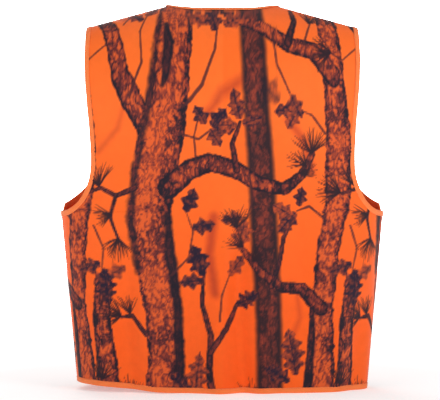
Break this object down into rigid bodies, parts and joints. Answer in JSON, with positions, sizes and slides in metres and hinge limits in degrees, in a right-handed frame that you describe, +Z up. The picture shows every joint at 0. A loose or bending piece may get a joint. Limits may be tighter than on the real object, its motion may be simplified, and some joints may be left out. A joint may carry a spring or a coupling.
{
  "type": "field vest",
  "caption": "Sleeveless hip-length vest with bound neck, armholes and hem, a separating zip front, two flap patch pockets and a hang loop.",
  "frame": {"origin": "middle of the hem, on the plane that the hem lies in", "axes": "+Z up towards the neck, the zip front faces -Y, the back faces +Y, +X is the wearer's left"},
  "size_m": [0.5632, 0.2363, 0.6868],
  "materials": {
    "printed_polyester": "smooth woven polyester, blaze orange with a woodland print",
    "edge_tape": "plain orange folded tape, stitched",
    "zip_tape": "plain orange woven tape",
    "label_cloth": "blank woven label",
    "moulded_teeth": "black moulded acetal",
    "black_hardware": "black enamelled zinc"
  },
  "bodies": {
    "vest": {"armhole_binding_left": "edge_tape", "armhole_binding_right": "edge_tape", "back_panel": "printed_polyester", "front_panel_left": "printed_polyester", "front_panel_right": "printed_polyester", "hem_binding": "edge_tape", "insertion_pin": "moulded_teeth", "neck_binding": "edge_tape", "neck_label": "label_cloth", "pocket_left": "printed_polyester", "pocket_right": "printed_polyester", "retainer_box": "moulded_teeth", "shoulder_seam_tape_left": "edge_tape", "shoulder_seam_tape_right": "edge_tape", "snap_stud_left": "black_hardware", "snap_stud_right": "black_hardware", "top_stop_left": "black_hardware", "top_stop_right": "black_hardware", "zipper_tape_left": "zip_tape", "zipper_tape_right": "zip_tape", "zipper_teeth_left": "moulded_teeth", "zipper_teeth_right": "moulded_teeth"},
    "slider": {"slider_body": "black_hardware"},
    "pull": {"pull_tab": "black_hardware"},
    "loop": {"hang_loop": "edge_tape"},
    "flap_left": {"pocket_flap_left": "printed_polyester", "snap_cap_left": "black_hardware", "snap_socket_left": "black_hardware"},
    "flap_right": {"pocket_flap_right": "printed_polyester", "snap_cap_right": "black_hardware", "snap_socket_right": "black_hardware"}
  },
  "joints": [
    {"name": "zip_slide", "type": "slide", "parent": "vest", "child": "slider", "axis": [0, 0, -1], "range_m": [0, 0.5555]},
    {"name": "pull_hinge", "type": "hinge", "parent": "slider", "child": "pull", "pos_m": [0, -0.117, 0.57089], "axis": [-1, 0, 0], "range_deg": [0, 150]},
    {"name": "flap_left_hinge", "type": "hinge", "parent": "vest", "child": "flap_left", "pos_m": [0.10551, -0.11248, 0.22709], "axis": [-0.9929, -0.1187, 0], "range_deg": [0, 150]},
    {"name": "flap_right_hinge", "type": "hinge", "parent": "vest", "child": "flap_right", "pos_m": [-0.10551, -0.11248, 0.22709], "axis": [-0.9929, 0.1187, 0], "range_deg": [0, 150]},
    {"name": "loop_hinge", "type": "hinge", "parent": "vest", "child": "loop", "pos_m": [0, 0.04872, 0.66767], "axis": [-1, 0, 0], "range_deg": [-30, 85]}
  ]
}
